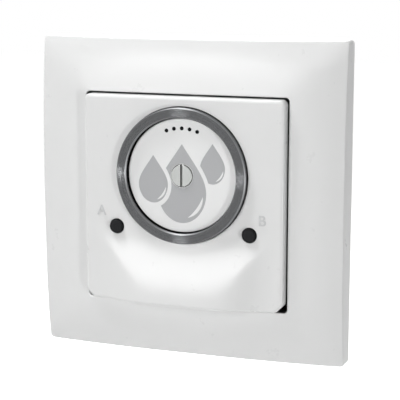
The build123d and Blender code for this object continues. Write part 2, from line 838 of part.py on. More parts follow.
def make_terminal_clamps():
    """Metal clamp in each pocket, with a hole for the wire and a threaded one for the screw."""
    low = -housing_step_depth + terminal_face
    clamps = []
    for x in terminal_columns():
        clamp = block(clamp_pocket_width - 2 * seat_gap, clamp_pocket_depth - 2 * seat_gap, low,
                      low + clamp_height, (x, -terminal_offset))
        entry = (x, -terminal_offset + wire_entry_offset)
        clamp -= block(clamp_hole_side, clamp_hole_side, low, low + clamp_height, entry)
        thread = (x, -terminal_offset - driver_hole_offset)
        clamp -= post(terminal_screw_radius + seat_gap, low, low + clamp_height, thread)
        clamps.append(clamp)
    return group(clamps)


def make_terminal_screws():
    """Slotted screws in the clamps."""
    screws = []
    head_high = -housing_step_depth + terminal_face - seat_gap
    head_low = head_high - terminal_screw_head_height
    for x in terminal_columns():
        screw = post(terminal_screw_head_radius, head_low, head_high)
        screw -= block(2 * terminal_screw_head_radius + overrun, terminal_screw_slot_width,
                       head_low - overrun, head_low + terminal_screw_slot_depth)
        screw += post(terminal_screw_radius, head_high, head_low + terminal_screw_length)
        screws.append(Pos(x, -terminal_offset - driver_hole_offset) * screw)
    return group(screws)


save("cover_frame", make_cover_frame())
save("centre_plate", make_centre_plate())
save("trim_ring", make_trim_ring())
save("face_disc", make_face_disc())
save("drop_symbols", make_drop_symbols())
save("centre_screw", make_centre_screw())
for mark, spot in button_places.items():
    save(f"button_{mark}", make_button(spot))
    save(f"switch_{mark}", make_switch(spot))
    save(f"switch_stem_{mark}", make_switch_stem(spot))
save("chassis", make_chassis())
save("front_board", make_front_board())
save("board_screws", make_board_screws())
save("sounder", make_sounder())
save("control_chip", make_control_chip())
save("link_header", make_link_header())
save("link_socket", make_link_socket())
save("support_plate", make_support_plate())
save("housing_screws", make_housing_screws())
save("rear_housing", make_rear_housing())
save("main_board", make_main_board())
save("relay", make_relay())
save("transformer_core", make_transformer_core())
save("transformer_winding", make_transformer_winding())
save("capacitor", make_capacitor())
save("varistor", make_varistor())
save("fuse", make_fuse())
save("terminal_block", make_terminal_block())
save("terminal_clamps", make_terminal_clamps())
save("terminal_screws", make_terminal_screws())
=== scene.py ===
from math import radians

import bmesh
import bpy
from bpy.props import FloatProperty, FloatVectorProperty, PointerProperty, StringProperty
from mathutils import Matrix, Vector


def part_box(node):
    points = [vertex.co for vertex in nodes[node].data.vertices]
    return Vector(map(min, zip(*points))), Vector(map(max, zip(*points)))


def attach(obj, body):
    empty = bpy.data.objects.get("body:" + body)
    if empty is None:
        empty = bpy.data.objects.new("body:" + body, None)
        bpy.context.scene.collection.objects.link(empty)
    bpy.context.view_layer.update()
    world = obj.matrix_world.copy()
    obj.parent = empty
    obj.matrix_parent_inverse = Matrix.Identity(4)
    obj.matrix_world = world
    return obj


bl_info = {
    "name": "Leak detection controller",
    "version": (1, 0, 0),
    "blender": (4, 5, 0),
    "location": "3D View > Sidebar > Controller",
    "description": "Finishes and fine pieces for a flush-mounted leak detection controller",
    "category": "Object",
}

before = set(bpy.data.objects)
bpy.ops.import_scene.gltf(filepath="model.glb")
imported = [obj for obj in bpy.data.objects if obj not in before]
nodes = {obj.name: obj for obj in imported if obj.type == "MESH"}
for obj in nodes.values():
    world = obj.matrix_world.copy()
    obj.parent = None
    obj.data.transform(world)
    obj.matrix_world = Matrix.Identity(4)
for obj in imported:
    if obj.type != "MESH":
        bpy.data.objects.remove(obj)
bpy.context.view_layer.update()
MM = 0.001

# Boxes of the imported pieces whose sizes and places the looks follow
ring_low, ring_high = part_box("trim_ring")
plate_low, plate_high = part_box("centre_plate")
disc_low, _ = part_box("face_disc")
button_low, button_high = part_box("button_b")
chip_low, chip_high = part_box("control_chip")
fuse_low, fuse_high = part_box("fuse")
varistor_low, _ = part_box("varistor")
_, can_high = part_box("capacitor")
block_low, block_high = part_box("terminal_block")
WINDOW = (ring_low + ring_high) / 2
BUTTON_MIDDLE = (button_low + button_high) / 2

# Where painted shade darkens the shell's gaps. Each pair is where a change starts and where it is complete.
# At the lower left corner of the plate the seam gets no painted shade.
SEAM_REACHES = (plate_high.x + 0.5 * MM, plate_high.x + 0.6 * MM)
SEAM_DEPTHS = (-8.9 * MM, -8.0 * MM)
LIGHT_SEAM_LEFT = (-10 * MM, 0.0)
LIGHT_SEAM_FOOT = (plate_low.z + 2 * MM, plate_low.z + 4 * MM)
BUTTON_GAP_RADII = (2.06 * MM, 2.1 * MM)
BUTTON_GAP_DEPTHS = (-11.3 * MM, -11.0 * MM)

# Trim ring: its width, the width of its bevelled edges, and where its turned face gives way to its inner wall
RING_WIDTH = 2.65 * MM
RING_EDGE = 0.3 * MM
RING_WALL_DEPTHS = (ring_low.y + 0.6 * MM, ring_low.y + 0.7 * MM)

# Gauze discs, on the arc of the sound holes round the window's centre
SOUND_HOLE_COUNT = 5
SOUND_HOLE_STEP = 10  # degrees
SOUND_ARC = 12.27 * MM
GAUZE_RADIUS = 0.51 * MM
GAUZE_THICKNESS = 0.15 * MM
GAUZE_DEPTH = 0.085 * MM  # from the disc's face to the middle of the gauze
GAUZE_SIDES = 24

# Letters beside the buttons, each with the x and z of its middle
BUTTON_MARKS = (("A", -22.6 * MM, -3.3 * MM), ("B", 21.7 * MM, -3.4 * MM))
CAPITAL_SHARE = 0.7  # about how tall a capital is in a font of size 1

# Numbers under the terminals: from the block's foot to their middle, and how far they stand out
TERMINAL_MARK_DROP = 1.5 * MM
TERMINAL_MARK_STAND = 0.2 * MM

# Where bare metal starts on the electronic components
CHIP_LEADS = (0.82 * MM, 0.78 * MM)  # in from the chip's sides
FUSE_CAPS = (1.45 * MM, 1.4 * MM)  # in from the fuse's ends
VARISTOR_LEADS = (1.1 * MM, 1.25 * MM)  # back from the varistor's front
CAN_END = (0.3 * MM, 0.2 * MM)  # in front of the can's back
HEADER_FRONT = (-4.9 * MM, -4.8 * MM)
HEADER_BACK = (-1.15 * MM, -1.05 * MM)

# Colours of bare metal
TIN = (0.7, 0.7, 0.68)
GOLD = (0.85, 0.62, 0.25)
ALUMINIUM = (0.75, 0.75, 0.76)

# Stage, in metres. Each lamp has its name, the setting of its power, its place, its width and height,
# and the collection of what it lights, if that isn't everything.
FLOOR_REACH = 3
FLOOR_TONE = 0.7
FLOOR_GLOW = 0.93  # added for the camera and for glosses alone
LAMPS = (
    ("zenith_box", "zenith_power", (-0.304, -0.05, 0.845), 0.14, 0.3, "ring_out"),
    ("overhead_box", "overhead_power", (-0.306, -0.225, 0.816), 0.14, 0.3, None),
    ("ramp_box", "ramp_power", (-0.30, -0.81, 0.215), 0.3, 0.38, "ring_out"),
    ("right_box", "right_power", (0.70, -0.50, -0.155), 0.1, 0.1, None),
    ("rear_box", "rear_power", (-0.4, 0.8, 0.35), 0.5, 0.5, None),
    ("left_strip", "left_strip_power", (-0.81, -0.22, -0.151), 0.1, 0.16, "ring_only"),
    ("right_strip", "right_strip_power", (0.81, -0.22, -0.151), 0.1, 0.16, "ring_only"),
)
CAMERA_PLACE = (0.12082, -0.32992, 0.06240)
CAMERA_TARGET = (0.000829, 0, -0.001223)
CAMERA_SENSOR = 36  # mm
CAMERA_NEAR = 0.01


class Signal:
    """An output socket that sums can be written with."""

    def __init__(self, finish, socket):
        self.finish = finish
        self.socket = socket

    def __add__(self, other):
        return self.finish.maths("ADD", self, other)

    def __sub__(self, other):
        return self.finish.maths("SUBTRACT", self, other)

    def __rsub__(self, other):
        return self.finish.maths("SUBTRACT", other, self)

    def __mul__(self, other):
        return self.finish.maths("MULTIPLY", self, other)

    def __abs__(self):
        return self.finish.maths("ABSOLUTE", self)


class Finish:
    """A material while its nodes are being made."""

    def __init__(self, name, tree=None):
        if tree is None:
            self.material = bpy.data.materials.new(name)
            self.material.use_nodes = True
            tree = self.material.node_tree
        self.tree = tree
        self.tree.nodes.clear()

    def node(self, kind, settings=None, sockets=None, output=0):
        """Make a node: its settings first, then its sockets' values or links."""
        made = self.tree.nodes.new(kind)
        for key, value in (settings or {}).items():
            setattr(made, key, value)
        for key, value in (sockets or {}).items():
            if isinstance(value, Signal):
                self.tree.links.new(value.socket, made.inputs[key])
            else:
                made.inputs[key].default_value = value
        return Signal(self, made.outputs[output])

    def maths(self, operation, *values):
        return self.node("ShaderNodeMath", {"operation": operation}, dict(enumerate(values)))

    def vector(self, operation, *values, output="Vector"):
        return self.node("ShaderNodeVectorMath", {"operation": operation}, dict(enumerate(values)), output)

    def scaled(self, direction, factor):
        """A direction made longer or shorter by a factor."""
        sockets = {"Vector": direction, "Scale": factor}
        return self.node("ShaderNodeVectorMath", {"operation": "SCALE"}, sockets)

    def place(self):
        """Where a point of the piece is, in metres."""
        return self.node("ShaderNodeTexCoord", output="Object")

    def along(self, axis):
        """One coordinate of the point, in metres."""
        return self.node("ShaderNodeSeparateXYZ", sockets={0: self.place()}, output=axis)

    def noise(self, size, detail=2.0, rough=0.5):
        """Soft noise from 0 to 1 whose blots are about as large as the size."""
        sockets = {"Vector": self.place(), "Scale": 1 / size, "Detail": detail, "Roughness": rough}
        return self.node("ShaderNodeTexNoise", sockets=sockets)

    def lines(self, value, size, detail=2.0):
        """Noise that changes with one value alone, such as turned or rolled lines."""
        sockets = {"W": value, "Scale": 1 / size, "Detail": detail, "Roughness": 0.6}
        return self.node("ShaderNodeTexNoise", {"noise_dimensions": "1D"}, sockets)

    def wave(self, axis, pitch):
        """Even stripes from 0 to 1 across an axis, soft at their edges."""
        fold = self.maths("PINGPONG", self.along(axis), pitch / 2)
        return self.rise(fold, pitch * 0.17, pitch * 0.33)

    def seen(self):
        """1 for what the camera sees itself, in a gloss or through a clear piece, else 0."""
        found = self.node("ShaderNodeLightPath", output="Is Camera Ray")
        for ray in ("Is Glossy Ray", "Is Transmission Ray"):
            found = self.maths("MAXIMUM", found, self.node("ShaderNodeLightPath", output=ray))
        return found

    def rise(self, value, low, high):
        """0 up to a low value and 1 from a high one, smooth between."""
        sockets = {"Value": value, "From Min": low, "From Max": high}
        return self.node("ShaderNodeMapRange", {"interpolation_type": "SMOOTHSTEP"}, sockets)

    def blend(self, factor, first, second):
        """A colour between two, from a factor of 0 to 1."""
        colours = [part if isinstance(part, Signal) else (*part, 1) for part in (first, second)]
        # A mix node's colour sockets share their names with its number sockets, so they go by index
        sockets = {0: factor, 6: colours[0], 7: colours[1]}
        return self.node("ShaderNodeMix", {"data_type": "RGBA"}, sockets, output=2)

    def relief(self, height, depth):
        """A bump whose height of 0 to 1 stands for a depth in metres."""
        return self.node("ShaderNodeBump", sockets={"Distance": depth, "Height": height})

    def close(self, shader, kind="ShaderNodeOutputMaterial"):
        out = self.tree.nodes.new(kind)
        self.tree.links.new(shader.socket, out.inputs["Surface"])

    def surface(self, colour, roughness, normal, metal=0.0, **constants):
        """Close the material with one principled shader."""
        sockets = {"Base Color": colour, "Roughness": roughness, "Normal": normal, "Metallic": metal}
        for key, value in constants.items():
            sockets[key.replace("_", " ")] = value
        self.close(self.node("ShaderNodeBsdfPrincipled", sockets=sockets))
        return self.material


def shade(colour, factor):
    """A colour made lighter or darker by a factor."""
    return tuple(min(part * factor, 1) for part in colour)


def moulded_tone(f, colour, flow, speck_share):
    """The flow tone of moulded plastic, and the speck in it, which its gloss follows too."""
    speck = f.noise(0.7 * MM)
    tone = f.noise(20 * MM, 3.0, 0.45) * (1 - speck_share) + speck * speck_share
    return f.blend(tone, shade(colour, 1 - flow), shade(colour, 1 + flow)), speck


def spark_grain(f, grain, depth):
    """The fine relief that a spark-eroded mould leaves, its size and depth in mm."""
    return f.relief(f.noise(grain * MM, 3.0, 0.6), depth * MM)


def grained_plastic(name, colour, roughness, grain, depth, flow, shine=0.5):
    """Moulded plastic: spark-eroded grain, flow tone and patchy gloss. Grain and depth are in mm."""
    f = Finish(name)
    base, speck = moulded_tone(f, colour, flow, 0.25)
    gloss = f.noise(6 * MM, 3.0) * 0.10 + speck * 0.06 + (roughness - 0.08)
    return f.surface(base, gloss, spark_grain(f, grain, depth), IOR=1.47, Specular_IOR_Level=shine)


def painted_gap_shade(f):
    """1 where painted shade darkens the seam round the plate and the gaps round the buttons, else 0."""
    depth = f.along("Y")
    sideways = abs(f.along("X"))
    upright = f.along("Z")
    reach = f.maths("MAXIMUM", sideways, abs(upright))
    seam = (1 - f.rise(reach, *SEAM_REACHES)) * f.rise(depth, *SEAM_DEPTHS)
    left = 1 - f.rise(f.along("X"), *LIGHT_SEAM_LEFT)
    foot = 1 - f.rise(upright, *LIGHT_SEAM_FOOT)
    seam = seam * (1 - left * foot)
    off_x = sideways - BUTTON_MIDDLE.x
    off_z = upright - BUTTON_MIDDLE.z
    away = f.maths("SQRT", off_x * off_x + off_z * off_z)
    gap = (1 - f.rise(away, *BUTTON_GAP_RADII)) * f.rise(depth, *BUTTON_GAP_DEPTHS)
    return f.maths("MAXIMUM", seam, gap)


def shell_plastic(name, colour):
    """Satin moulded plastic with an even tone, dull down in the shell's gaps, which painted shade darkens."""
    f = Finish(name)
    gap_shade = painted_gap_shade(f)
    base, speck = moulded_tone(f, colour, 0.01, 0.1)
    # Painted shade: near black down in the seam and the button gaps
    base = f.blend(gap_shade * 0.9, base, (0.03, 0.03, 0.03))
    gloss = f.noise(6 * MM, 3.0) * 0.03 + speck * 0.01 + 0.26 + gap_shade * 0.4
    return f.surface(base, gloss, spark_grain(f, 0.25, 0.001), IOR=1.47)


def woven_gauze(name):
    """Black acoustic gauze with a fine square weave."""
    f = Finish(name)
    pitch = 0.12 * MM
    thread = f.maths("MAXIMUM", f.wave("X", pitch), f.wave("Z", pitch))
    base = f.blend(thread, (0.002, 0.002, 0.002), (0.012, 0.012, 0.013))
    return f.surface(base, thread * -0.1 + 0.8, f.relief(thread, 0.03 * MM), Specular_IOR_Level=0.1)


def ring_rims(f, radius):
    """1 on the trim ring's two bevelled edges and its inner wall, which take a painted highlight, else 0."""
    outer = ring_high.x - WINDOW.x
    inner = outer - RING_WIDTH
    bevel = f.rise(radius, inner + RING_EDGE * 0.05, inner + RING_EDGE * 0.15)
    wall = 1 - f.rise(f.along("Y"), *RING_WALL_DEPTHS)
    past = f.rise(radius, inner + RING_EDGE * 0.9, inner + RING_EDGE * 1.1)
    rim = f.maths("MAXIMUM", bevel, wall) * (1 - past)
    return rim + f.rise(radius, outer - RING_EDGE * 1.1, outer - RING_EDGE * 0.9)


def turned_metal(name, colour, roughness, pitch, slope, rims_of=None):
    """Metal turned on a lathe: fine rings round the window's centre lean the surface in and out.

    Where the mask of the rims says so, there are no rings, the metal is less glossy, and a painted highlight
    makes it brighter.
    """
    f = Finish(name)
    away = f.vector("MULTIPLY", f.vector("SUBTRACT", f.place(), tuple(WINDOW)), (1, 0, 1))
    radius = f.vector("LENGTH", away, output="Value")
    rings = f.lines(radius, pitch, 3.0)
    broad = f.lines(radius, pitch * 9)
    tilt = (rings - 0.5) * slope
    gloss = f.noise(2.5 * MM, 3.0) * 0.08 + broad * 0.08 + (roughness - 0.08)
    tint = f.blend(f.noise(5 * MM, 3.0) * 0.6 + broad * 0.4, shade(colour, 0.9), shade(colour, 1.1))
    if rims_of:
        rim = rims_of(f, radius)
        tilt = tilt * (1 - rim)
        # Painted highlight: the rims' colour is 1.6 times the steel's
        tint = f.blend(rim, tint, shade(colour, 1.6))
        gloss = gloss + rim * 0.25
    lean = f.scaled(f.vector("NORMALIZE", away), tilt)
    space = {"vector_type": "VECTOR", "convert_from": "OBJECT", "convert_to": "WORLD"}
    lean = f.node("ShaderNodeVectorTransform", space, {"Vector": lean})
    face = f.node("ShaderNodeNewGeometry", output="Normal")
    normal = f.vector("NORMALIZE", f.vector("ADD", face, lean))
    return f.surface(tint, gloss, normal, metal=1.0)


def plated_metal(name, colour, roughness=0.3):
    """Zinc-plated steel or brass: faint blotches, tiny pits and a dull bloom."""
    f = Finish(name)
    bloom = f.noise(1.6 * MM, 4.0, 0.6)
    pits = f.rise(f.noise(0.12 * MM, 2.0), 0.62, 0.7)
    base = f.blend(bloom, shade(colour, 0.85), shade(colour, 1.08))
    gloss = bloom * 0.2 + pits * 0.15 + (roughness - 0.1)
    return f.surface(base, gloss, f.relief(1 - pits, 0.003 * MM), metal=1.0)


def galvanised_sheet(name, colour):
    """Zinc-coated sheet: crystal spangle and rolling lines."""
    f = Finish(name)
    crystals = {"Vector": f.place(), "Scale": 1 / (2.4 * MM)}
    cells = f.node("ShaderNodeTexVoronoi", sockets=crystals, output="Color")
    spangle = f.node("ShaderNodeSeparateColor", sockets={"Color": cells}, output="Red")
    rolled = f.lines(f.along("X"), 0.12 * MM, 3.0)
    tone = spangle * 0.55 + rolled * 0.2 + f.noise(14 * MM, 3.0) * 0.25
    base = f.blend(tone, shade(colour, 0.78), shade(colour, 1.12))
    gloss = spangle * 0.16 + rolled * 0.08 + 0.26
    return f.surface(base, gloss, f.relief(rolled * 0.7 + spangle * 0.3, 0.002 * MM), metal=1.0)


def board_laminate(name, mask_colour, pad_colour):
    """Circuit board: a lacquer over copper tracks, weave showing through and bare tinned pads."""
    f = Finish(name)
    pitch = 1.27 * MM
    across = f.wave("X", pitch)
    up = f.wave("Z", pitch)
    chosen = f.rise(f.noise(5 * MM, 1.0), 0.48, 0.52)
    track = f.maths("MAXIMUM", across * chosen, up * (1 - chosen))
    weave = f.noise(0.35 * MM, 2.0)
    base = f.blend(track, shade(mask_colour, 0.8), shade(mask_colour, 1.5))
    pad = f.rise(across * up, 0.86, 0.94) * f.rise(f.noise(7 * MM, 1.0), 0.5, 0.55)
    height = track * 0.7 + weave * 0.3
    return f.surface(f.blend(pad, base, pad_colour), weave * 0.12 + 0.22, f.relief(height, 0.02 * MM),
                     metal=pad, IOR=1.5)


def two_part(name, colour, roughness, metal_colour, mask_of):
    """A moulded body with bare metal where a mask says so."""
    f = Finish(name)
    mask = mask_of(f)
    speck = f.noise(0.4 * MM, 3.0, 0.6)
    body = f.blend(speck, shade(colour, 0.88), shade(colour, 1.14))
    bare = f.blend(f.noise(0.9 * MM, 3.0), shade(metal_colour, 0.82), shade(metal_colour, 1.1))
    gloss = speck * 0.14 + (roughness - 0.07) - mask * (roughness - 0.28)
    return f.surface(f.blend(mask, body, bare), gloss, f.relief(speck, 0.006 * MM), metal=mask)


def chip_leads(f):
    """1 on the chip's leads, which stand out past its sides, else 0."""
    half = (chip_high.x - chip_low.x) / 2
    middle = (chip_low.z + chip_high.z) / 2
    furthest = f.maths("MAXIMUM", abs(f.along("X")), abs(f.along("Z") - middle))
    return f.rise(furthest, *(half - inset for inset in CHIP_LEADS))


def fuse_caps(f):
    """1 on the metal caps at the fuse's ends, else 0."""
    middle = (fuse_low.x + fuse_high.x) / 2
    half = (fuse_high.x - fuse_low.x) / 2
    return f.rise(abs(f.along("X") - middle), *(half - inset for inset in FUSE_CAPS))


def varistor_leads(f):
    """1 on the leads in front of the varistor, else 0."""
    return 1 - f.rise(f.along("Y"), *(varistor_low.y + offset for offset in VARISTOR_LEADS))


def can_end(f):
    """1 on the bare back of the capacitor's can, else 0."""
    return f.rise(f.along("Y"), *(can_high.y - offset for offset in CAN_END))


def header_pins(f):
    """1 on the pins in front of the header's plastic body and behind it, else 0."""
    depth = f.along("Y")
    return 1 - f.rise(depth, *HEADER_FRONT) * (1 - f.rise(depth, *HEADER_BACK))


def striped(name, first, second, axis, pitch, roughness, metal=0.0):
    """Even layers along one axis, such as tape turns or iron sheets."""
    f = Finish(name)
    layer = f.wave(axis, pitch)
    tone = layer * 0.7 + f.noise(1.2 * MM, 3.0) * 0.3
    gloss = f.noise(2 * MM, 3.0) * 0.16 + (roughness - 0.08)
    return f.surface(f.blend(tone, first, second), gloss, f.relief(layer, 0.02 * MM), metal=metal)


def dress(material, *names):
    """Give carried-over nodes their finish."""
    for name in names:
        mesh = nodes[name].data
        mesh.materials.clear()
        mesh.materials.append(material)


def settings_of(context):
    return context.scene.leak_controller


def add_piece(name, bm, material):
    """Make a fine piece of a bmesh. It rides on the controller."""
    mesh = bpy.data.meshes.new(name)
    bm.to_mesh(mesh)
    bm.free()
    mesh.materials.append(material)
    piece = bpy.data.objects.new(name, mesh)
    bpy.context.scene.collection.objects.link(piece)
    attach(piece, "controller")


def lettering(words, size, stand):
    """A bmesh of bevelled lettering that lies in the XY plane."""
    curve = bpy.data.curves.new(words, "FONT")
    curve.body = words
    curve.align_x = "CENTER"
    curve.size = size
    curve.extrude = stand
    curve.bevel_depth = stand / 3
    curve.bevel_resolution = 2
    curve.resolution_u = 6
    text = bpy.data.objects.new(words, curve)
    bpy.context.scene.collection.objects.link(text)
    bpy.context.view_layer.update()
    mesh = bpy.data.meshes.new_from_object(text.evaluated_get(bpy.context.evaluated_depsgraph_get()))
    bm = bmesh.new()
    bm.from_mesh(mesh)
    bpy.data.objects.remove(text)
    bpy.data.meshes.remove(mesh)
    bmesh.ops.remove_doubles(bm, verts=bm.verts, dist=stand / 50)
    return bm


def raised_words(name, words, height, stand, at, turn, material):
    """Raised lettering of a given height, whose foot is sunk into the face that it stands on."""
    bm = lettering(words, height / CAPITAL_SHARE, stand)
    tall = [v.co.y for v in bm.verts]
    middle = (min(tall) + max(tall)) / 2
    factor = height / (max(tall) - min(tall))
    bmesh.ops.translate(bm, verts=bm.verts, vec=(0, -middle, 0))
    bmesh.ops.scale(bm, verts=bm.verts, vec=(factor, factor, 1))
    place = Matrix.Translation(at) @ Matrix.Rotation(turn, 4, "Z") @ Matrix.Rotation(radians(90), 4, "X")
    bmesh.ops.transform(bm, matrix=place, verts=bm.verts)
    bmesh.ops.recalc_face_normals(bm, faces=bm.faces)
    add_piece(name, bm, material)


def add_floor(drop):
    """A wide floor that the camera sees as nearly white."""
    bm = bmesh.new()
    bmesh.ops.create_grid(bm, x_segments=1, y_segments=1, size=FLOOR_REACH)
    bmesh.ops.translate(bm, verts=bm.verts, vec=(0, 0, -drop))
    mesh = bpy.data.meshes.new("floor")
    bm.to_mesh(mesh)
    bm.free()
    floor = bpy.data.objects.new("floor", mesh)
    bpy.context.scene.collection.objects.link(floor)
    f = Finish("pale_floor")
    diffuse = f.node("ShaderNodeBsdfDiffuse", sockets={"Color": (FLOOR_TONE, FLOOR_TONE, FLOOR_TONE, 1)})
    white = {"Color": (1, 1, 1, 1), "Strength": f.seen() * FLOOR_GLOW}
    glow = f.node("ShaderNodeEmission", sockets=white)
    f.close(f.node("ShaderNodeAddShader", sockets={0: diffuse, 1: glow}))
    mesh.materials.append(f.material)


def add_sky(room_light):
    """White all round for the camera and for glosses, and a dim light for all else."""
    world = bpy.data.worlds.new("studio")
    bpy.context.scene.world = world
    world.use_nodes = True
    f = Finish("studio", world.node_tree)
    seen = f.seen()
    white = {"Color": (1, 1, 1, 1), "Strength": seen + (1 - seen) * room_light}
    f.close(f.node("ShaderNodeBackground", sockets=white), "ShaderNodeOutputWorld")


def add_lamp(name, at, width, height, power):
    """A rectangular soft box that faces the controller."""
    data = bpy.data.lights.new(name, "AREA")
    data.shape = "RECTANGLE"
    data.size = width
    data.size_y = height
    data.energy = power
    made = bpy.data.objects.new(name, data)
    made.location = at
    made.rotation_euler = (-Vector(at)).to_track_quat("-Z", "Y").to_euler()
    bpy.context.scene.collection.objects.link(made)
    return made


def add_lamps(settings):
    """All the lamps. Some light the trim ring alone, and some leave it out."""
    receivers = {name: bpy.data.collections.new(name) for name in ("ring_only", "ring_out")}
    for group in receivers.values():
        group.objects.link(nodes["trim_ring"])
    receivers["ring_out"].collection_objects[0].light_linking.link_state = "EXCLUDE"
    for name, power, at, width, height, lit in LAMPS:
        made = add_lamp(name, at, width, height, getattr(settings, power))
        if lit:
            made.light_linking.receiver_collection = receivers[lit]


def add_camera(lens):
    camera = bpy.data.objects.new("camera", bpy.data.cameras.new("camera"))
    camera.location = CAMERA_PLACE
    look = Vector(CAMERA_TARGET) - camera.location
    camera.rotation_euler = look.to_track_quat("-Z", "Y").to_euler()
    camera.data.sensor_width = CAMERA_SENSOR
    camera.data.lens = lens
    camera.data.clip_start = CAMERA_NEAR
    bpy.context.scene.collection.objects.link(camera)
    bpy.context.scene.camera = camera


def colour_setting(name, whose, value):
    return FloatVectorProperty(name=name, description="Colour of " + whose, default=value, size=3,
                               min=0, max=1, subtype="COLOR")


def length_setting(name, description, value, least):
    return FloatProperty(name=name, description=description, default=value, min=least, unit="LENGTH")


def power_setting(name, whose, value):
    return FloatProperty(name=name, description="Power of " + whose, default=value, min=0, unit="POWER")


class ControllerSettings(bpy.types.PropertyGroup):
    """Sizes and colours of the controller and its stage."""

    shell_colour: colour_setting("Shell colour", "the cover frame and the centre plate", (0.786, 0.79, 0.787))
    drop_colour: colour_setting("Drop colour", "the inlaid drops", (0.44, 0.445, 0.455))
    ring_colour: colour_setting("Ring colour", "the turned steel ring", (0.105, 0.107, 0.11))
    button_colour: colour_setting("Button colour", "the push buttons", (0.010, 0.0105, 0.0115))
    # The letters are moulded tone on tone with the plate; their darker grey is painted shade for the shadows
    # round their small raised strokes
    mark_shade_colour: colour_setting("Mark colour", "the letters beside the buttons", (0.61, 0.615, 0.62))
    board_colour: colour_setting("Board colour", "the solder mask on the boards", (0.03, 0.16, 0.07))
    mark_height: length_setting("Mark height", "Height of the letters beside the buttons", 2.7 * MM, 0.1 * MM)
    mark_stand: length_setting("Mark stand", "How far the letters stand off the plate", 0.12 * MM, 0.01 * MM)
    terminal_marks: StringProperty(
        name="Terminal marks", description="One character for each terminal, as seen from behind",
        default="12345")
    terminal_mark_height: length_setting(
        "Terminal mark height", "Height of the numbers under the terminals", 1.5 * MM, 0.1 * MM)
    lens: FloatProperty(
        name="Lens", description="Focal length of the camera", default=120.75, min=1, unit="CAMERA")
    floor_drop: length_setting("Floor drop", "How far the floor lies below the controller's middle", 0.2, 0)
    zenith_power: power_setting("Zenith lamp", "the soft box right above", 2.4)
    overhead_power: power_setting("Overhead lamp", "the soft box overhead", 3.9)
    ramp_power: power_setting("Ramp lamp", "the soft box whose gloss lies on the ramp", 2.72)
    right_power: power_setting("Right lamp", "the soft box at the right", 2.0)
    rear_power: power_setting("Rear lamp", "the soft box behind", 4.0)
    left_strip_power: power_setting("Left strip", "the left lamp that lights the ring alone", 1.6)
    right_strip_power: power_setting("Right strip", "the right lamp that lights the ring alone", 0.6)
    room_light: FloatProperty(
        name="Room light", description="Strength of the light from all round", default=0.1, min=0)


class CONTROLLER_OT_shell(bpy.types.Operator):
    """Finish the cover frame, the centre plate and the face disc in white plastic"""

    bl_idname = "controller.shell"
    bl_label = "Shell"

    def execute(self, context):
        colour = tuple(settings_of(context).shell_colour)
        dress(shell_plastic("white_shell", colour), "cover_frame", "centre_plate")
        # Painted light: the disc is the shell's white made 1.1 times as light, which makes up for the shade
        # it lies in, sunk inside the proud ring
        disc = grained_plastic("white_disc", shade(colour, 1.1), 0.3, grain=0.2, depth=0.0025, flow=0.01)
        dress(disc, "face_disc")
        return {"FINISHED"}


class CONTROLLER_OT_gauze(bpy.types.Operator):
    """Set black gauze into the sound holes"""

    bl_idname = "controller.gauze"
    bl_label = "Sound gauze"

    def execute(self, context):
        bm = bmesh.new()
        facing = Matrix.Rotation(radians(90), 4, "X")
        centre = Vector((WINDOW.x, disc_low.y + GAUZE_DEPTH, WINDOW.z))
        for i in range(SOUND_HOLE_COUNT):
            angle = radians(SOUND_HOLE_STEP * (i - (SOUND_HOLE_COUNT - 1) / 2))
            away = Matrix.Rotation(angle, 4, "Y") @ Vector((0, 0, SOUND_ARC))
            bmesh.ops.create_cone(
                bm, cap_ends=True, segments=GAUZE_SIDES, radius1=GAUZE_RADIUS, radius2=GAUZE_RADIUS,
                depth=GAUZE_THICKNESS, matrix=Matrix.Translation(centre + away) @ facing)
        add_piece("sound_gauze", bm, woven_gauze("black_gauze"))
        return {"FINISHED"}


class CONTROLLER_OT_marks(bpy.types.Operator):
    """Raise the letters A and B beside the buttons"""

    bl_idname = "controller.marks"
    bl_label = "Button marks"

    def execute(self, context):
        settings = settings_of(context)
        # Painted shade: the letters are a darker grey than the plate that they are moulded with
        grey = grained_plastic("mark_grey", tuple(settings.mark_shade_colour), 0.4, grain=0.2, depth=0.002,
                               flow=0.05)
        for letter, x, z in BUTTON_MARKS:
            at = Vector((x, disc_low.y, z))  # the plate's flat face is level with the disc's
            raised_words("button_mark_" + letter.lower(), letter, settings.mark_height, settings.mark_stand,
                         at, 0, grey)
        return {"FINISHED"}


class CONTROLLER_OT_ring(bpy.types.Operator):
    """Finish the trim ring in turned steel"""

    bl_idname = "controller.ring"
    bl_label = "Trim ring"

    def execute(self, context):
        colour = tuple(settings_of(context).ring_colour)
        steel = turned_metal("turned_steel", colour, 0.14, pitch=0.03 * MM, slope=9.0, rims_of=ring_rims)
        dress(steel, "trim_ring")
        return {"FINISHED"}


class CONTROLLER_OT_drops(bpy.types.Operator):
    """Finish the inlaid drops in grey"""

    bl_idname = "controller.drops"
    bl_label = "Drop symbols"

    def execute(self, context):
        colour = tuple(settings_of(context).drop_colour)
        dress(grained_plastic("drop_grey", colour, 0.42, grain=0.3, depth=0.002, flow=0.015),
              "drop_symbols")
        return {"FINISHED"}


class CONTROLLER_OT_screw(bpy.types.Operator):
    """Finish the centre screw in nickel plate"""

    bl_idname = "controller.screw"
    bl_label = "Centre screw"

    def execute(self, context):
        nickel = turned_metal("nickel_plate", (0.305, 0.312, 0.305), 0.4, pitch=0.06 * MM, slope=0.5)
        dress(nickel, "centre_screw")
        return {"FINISHED"}


